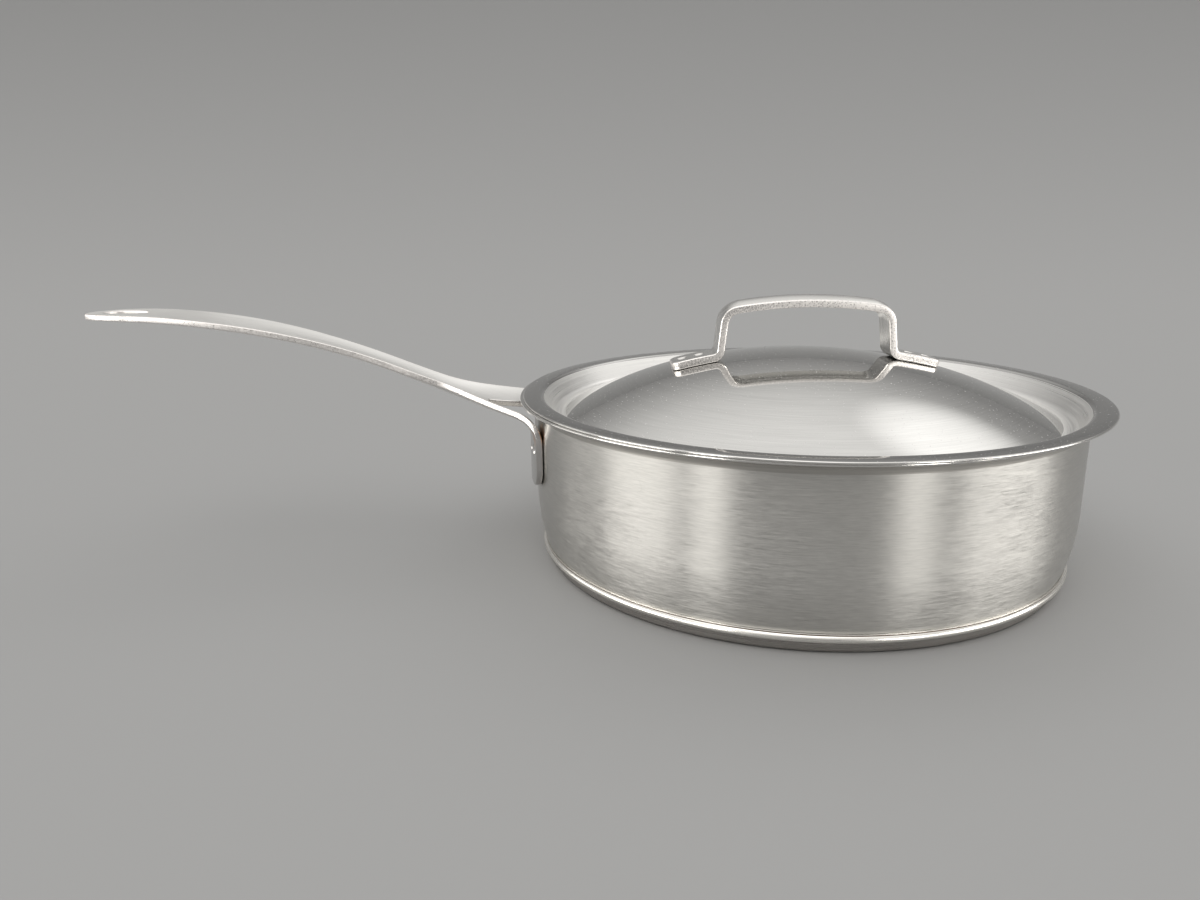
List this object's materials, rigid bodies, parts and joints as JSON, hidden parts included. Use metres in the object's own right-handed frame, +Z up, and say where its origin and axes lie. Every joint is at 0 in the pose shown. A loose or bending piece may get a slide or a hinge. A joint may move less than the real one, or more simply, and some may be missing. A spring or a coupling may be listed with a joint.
{
  "type": "saute pan with lid",
  "caption": "Straight-sided steel saute pan with a flared rim, capsule base, long forked strap handle and a domed lift-off lid with its own strap handle.",
  "frame": {"origin": "centre of the base's flat underside", "axes": "+Z up; the long handle points along -X and the lid handle's bar runs along X"},
  "size_m": [0.4487, 0.2551, 0.1169],
  "materials": {
    "wall_steel": "satin, brushed round the wall",
    "lid_steel": "finely brushed, close to mirror",
    "cap_steel": "satin, with a polished ring",
    "handle_steel": "satin faces, polished edges",
    "weld_steel": "pressed, bright",
    "core_aluminium": "plain",
    "seam_braze": "dull, brown"
  },
  "bodies": {
    "pan": {"pan_shell": "wall_steel", "base_core": "core_aluminium", "base_capsule": "cap_steel", "base_seam_bead": "seam_braze", "pan_handle": "handle_steel", "pan_handle_weld_near_outer": "weld_steel", "pan_handle_weld_near_inner": "weld_steel", "pan_handle_weld_far_outer": "weld_steel", "pan_handle_weld_far_inner": "weld_steel"},
    "lid": {"lid_shell": "lid_steel", "lid_handle": "handle_steel", "lid_handle_weld_left_inner": "weld_steel", "lid_handle_weld_left_outer": "weld_steel", "lid_handle_weld_right_inner": "weld_steel", "lid_handle_weld_right_outer": "weld_steel"}
  },
  "joints": [
    {"name": "lid_lift", "type": "slide", "parent": "pan", "child": "lid", "axis": [0, 0, 1], "range_m": [0, 0.12]}
  ]
}
